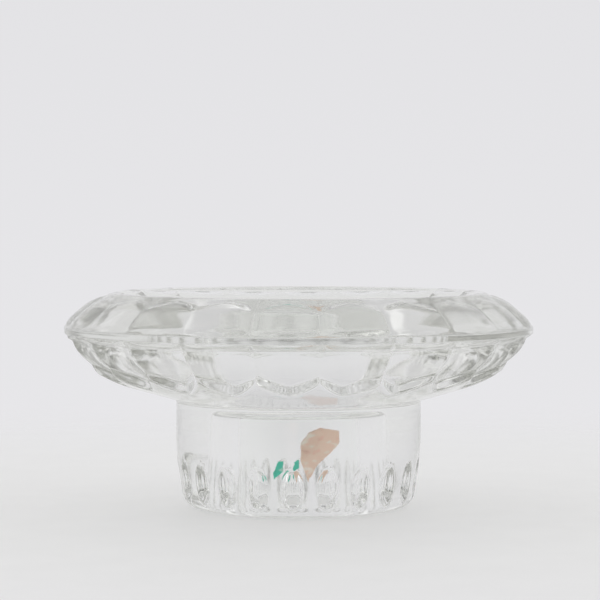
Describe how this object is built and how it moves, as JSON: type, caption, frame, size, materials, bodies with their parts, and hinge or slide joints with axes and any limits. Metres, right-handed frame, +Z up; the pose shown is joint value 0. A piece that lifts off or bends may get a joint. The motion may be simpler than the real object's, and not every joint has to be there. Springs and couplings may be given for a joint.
{
  "type": "tealight holder",
  "caption": "Clear pressed-glass tealight holder: a wide fluted dish with a tealight well on a short fluted foot that has a candle socket underneath.",
  "frame": {"origin": "centre of the sole that the foot rests on", "axes": "+Z up along the holder's axis; the front faces -Y, 2.8 degrees from the centre line of the nearest scoops"},
  "size_m": [0.096, 0.096, 0.044],
  "materials": {
    "clear_glass": "clear pressed soda-lime glass with a faint green-grey tint, fire-polished",
    "peach_paper": "matt coated paper, peach, scuffed",
    "green_paper": "matt coated paper, green, scuffed"
  },
  "bodies": {
    "root": {"glass_body": "clear_glass", "sticker_peach": "peach_paper", "sticker_green_large": "green_paper", "sticker_green_small": "green_paper"}
  },
  "joints": []
}
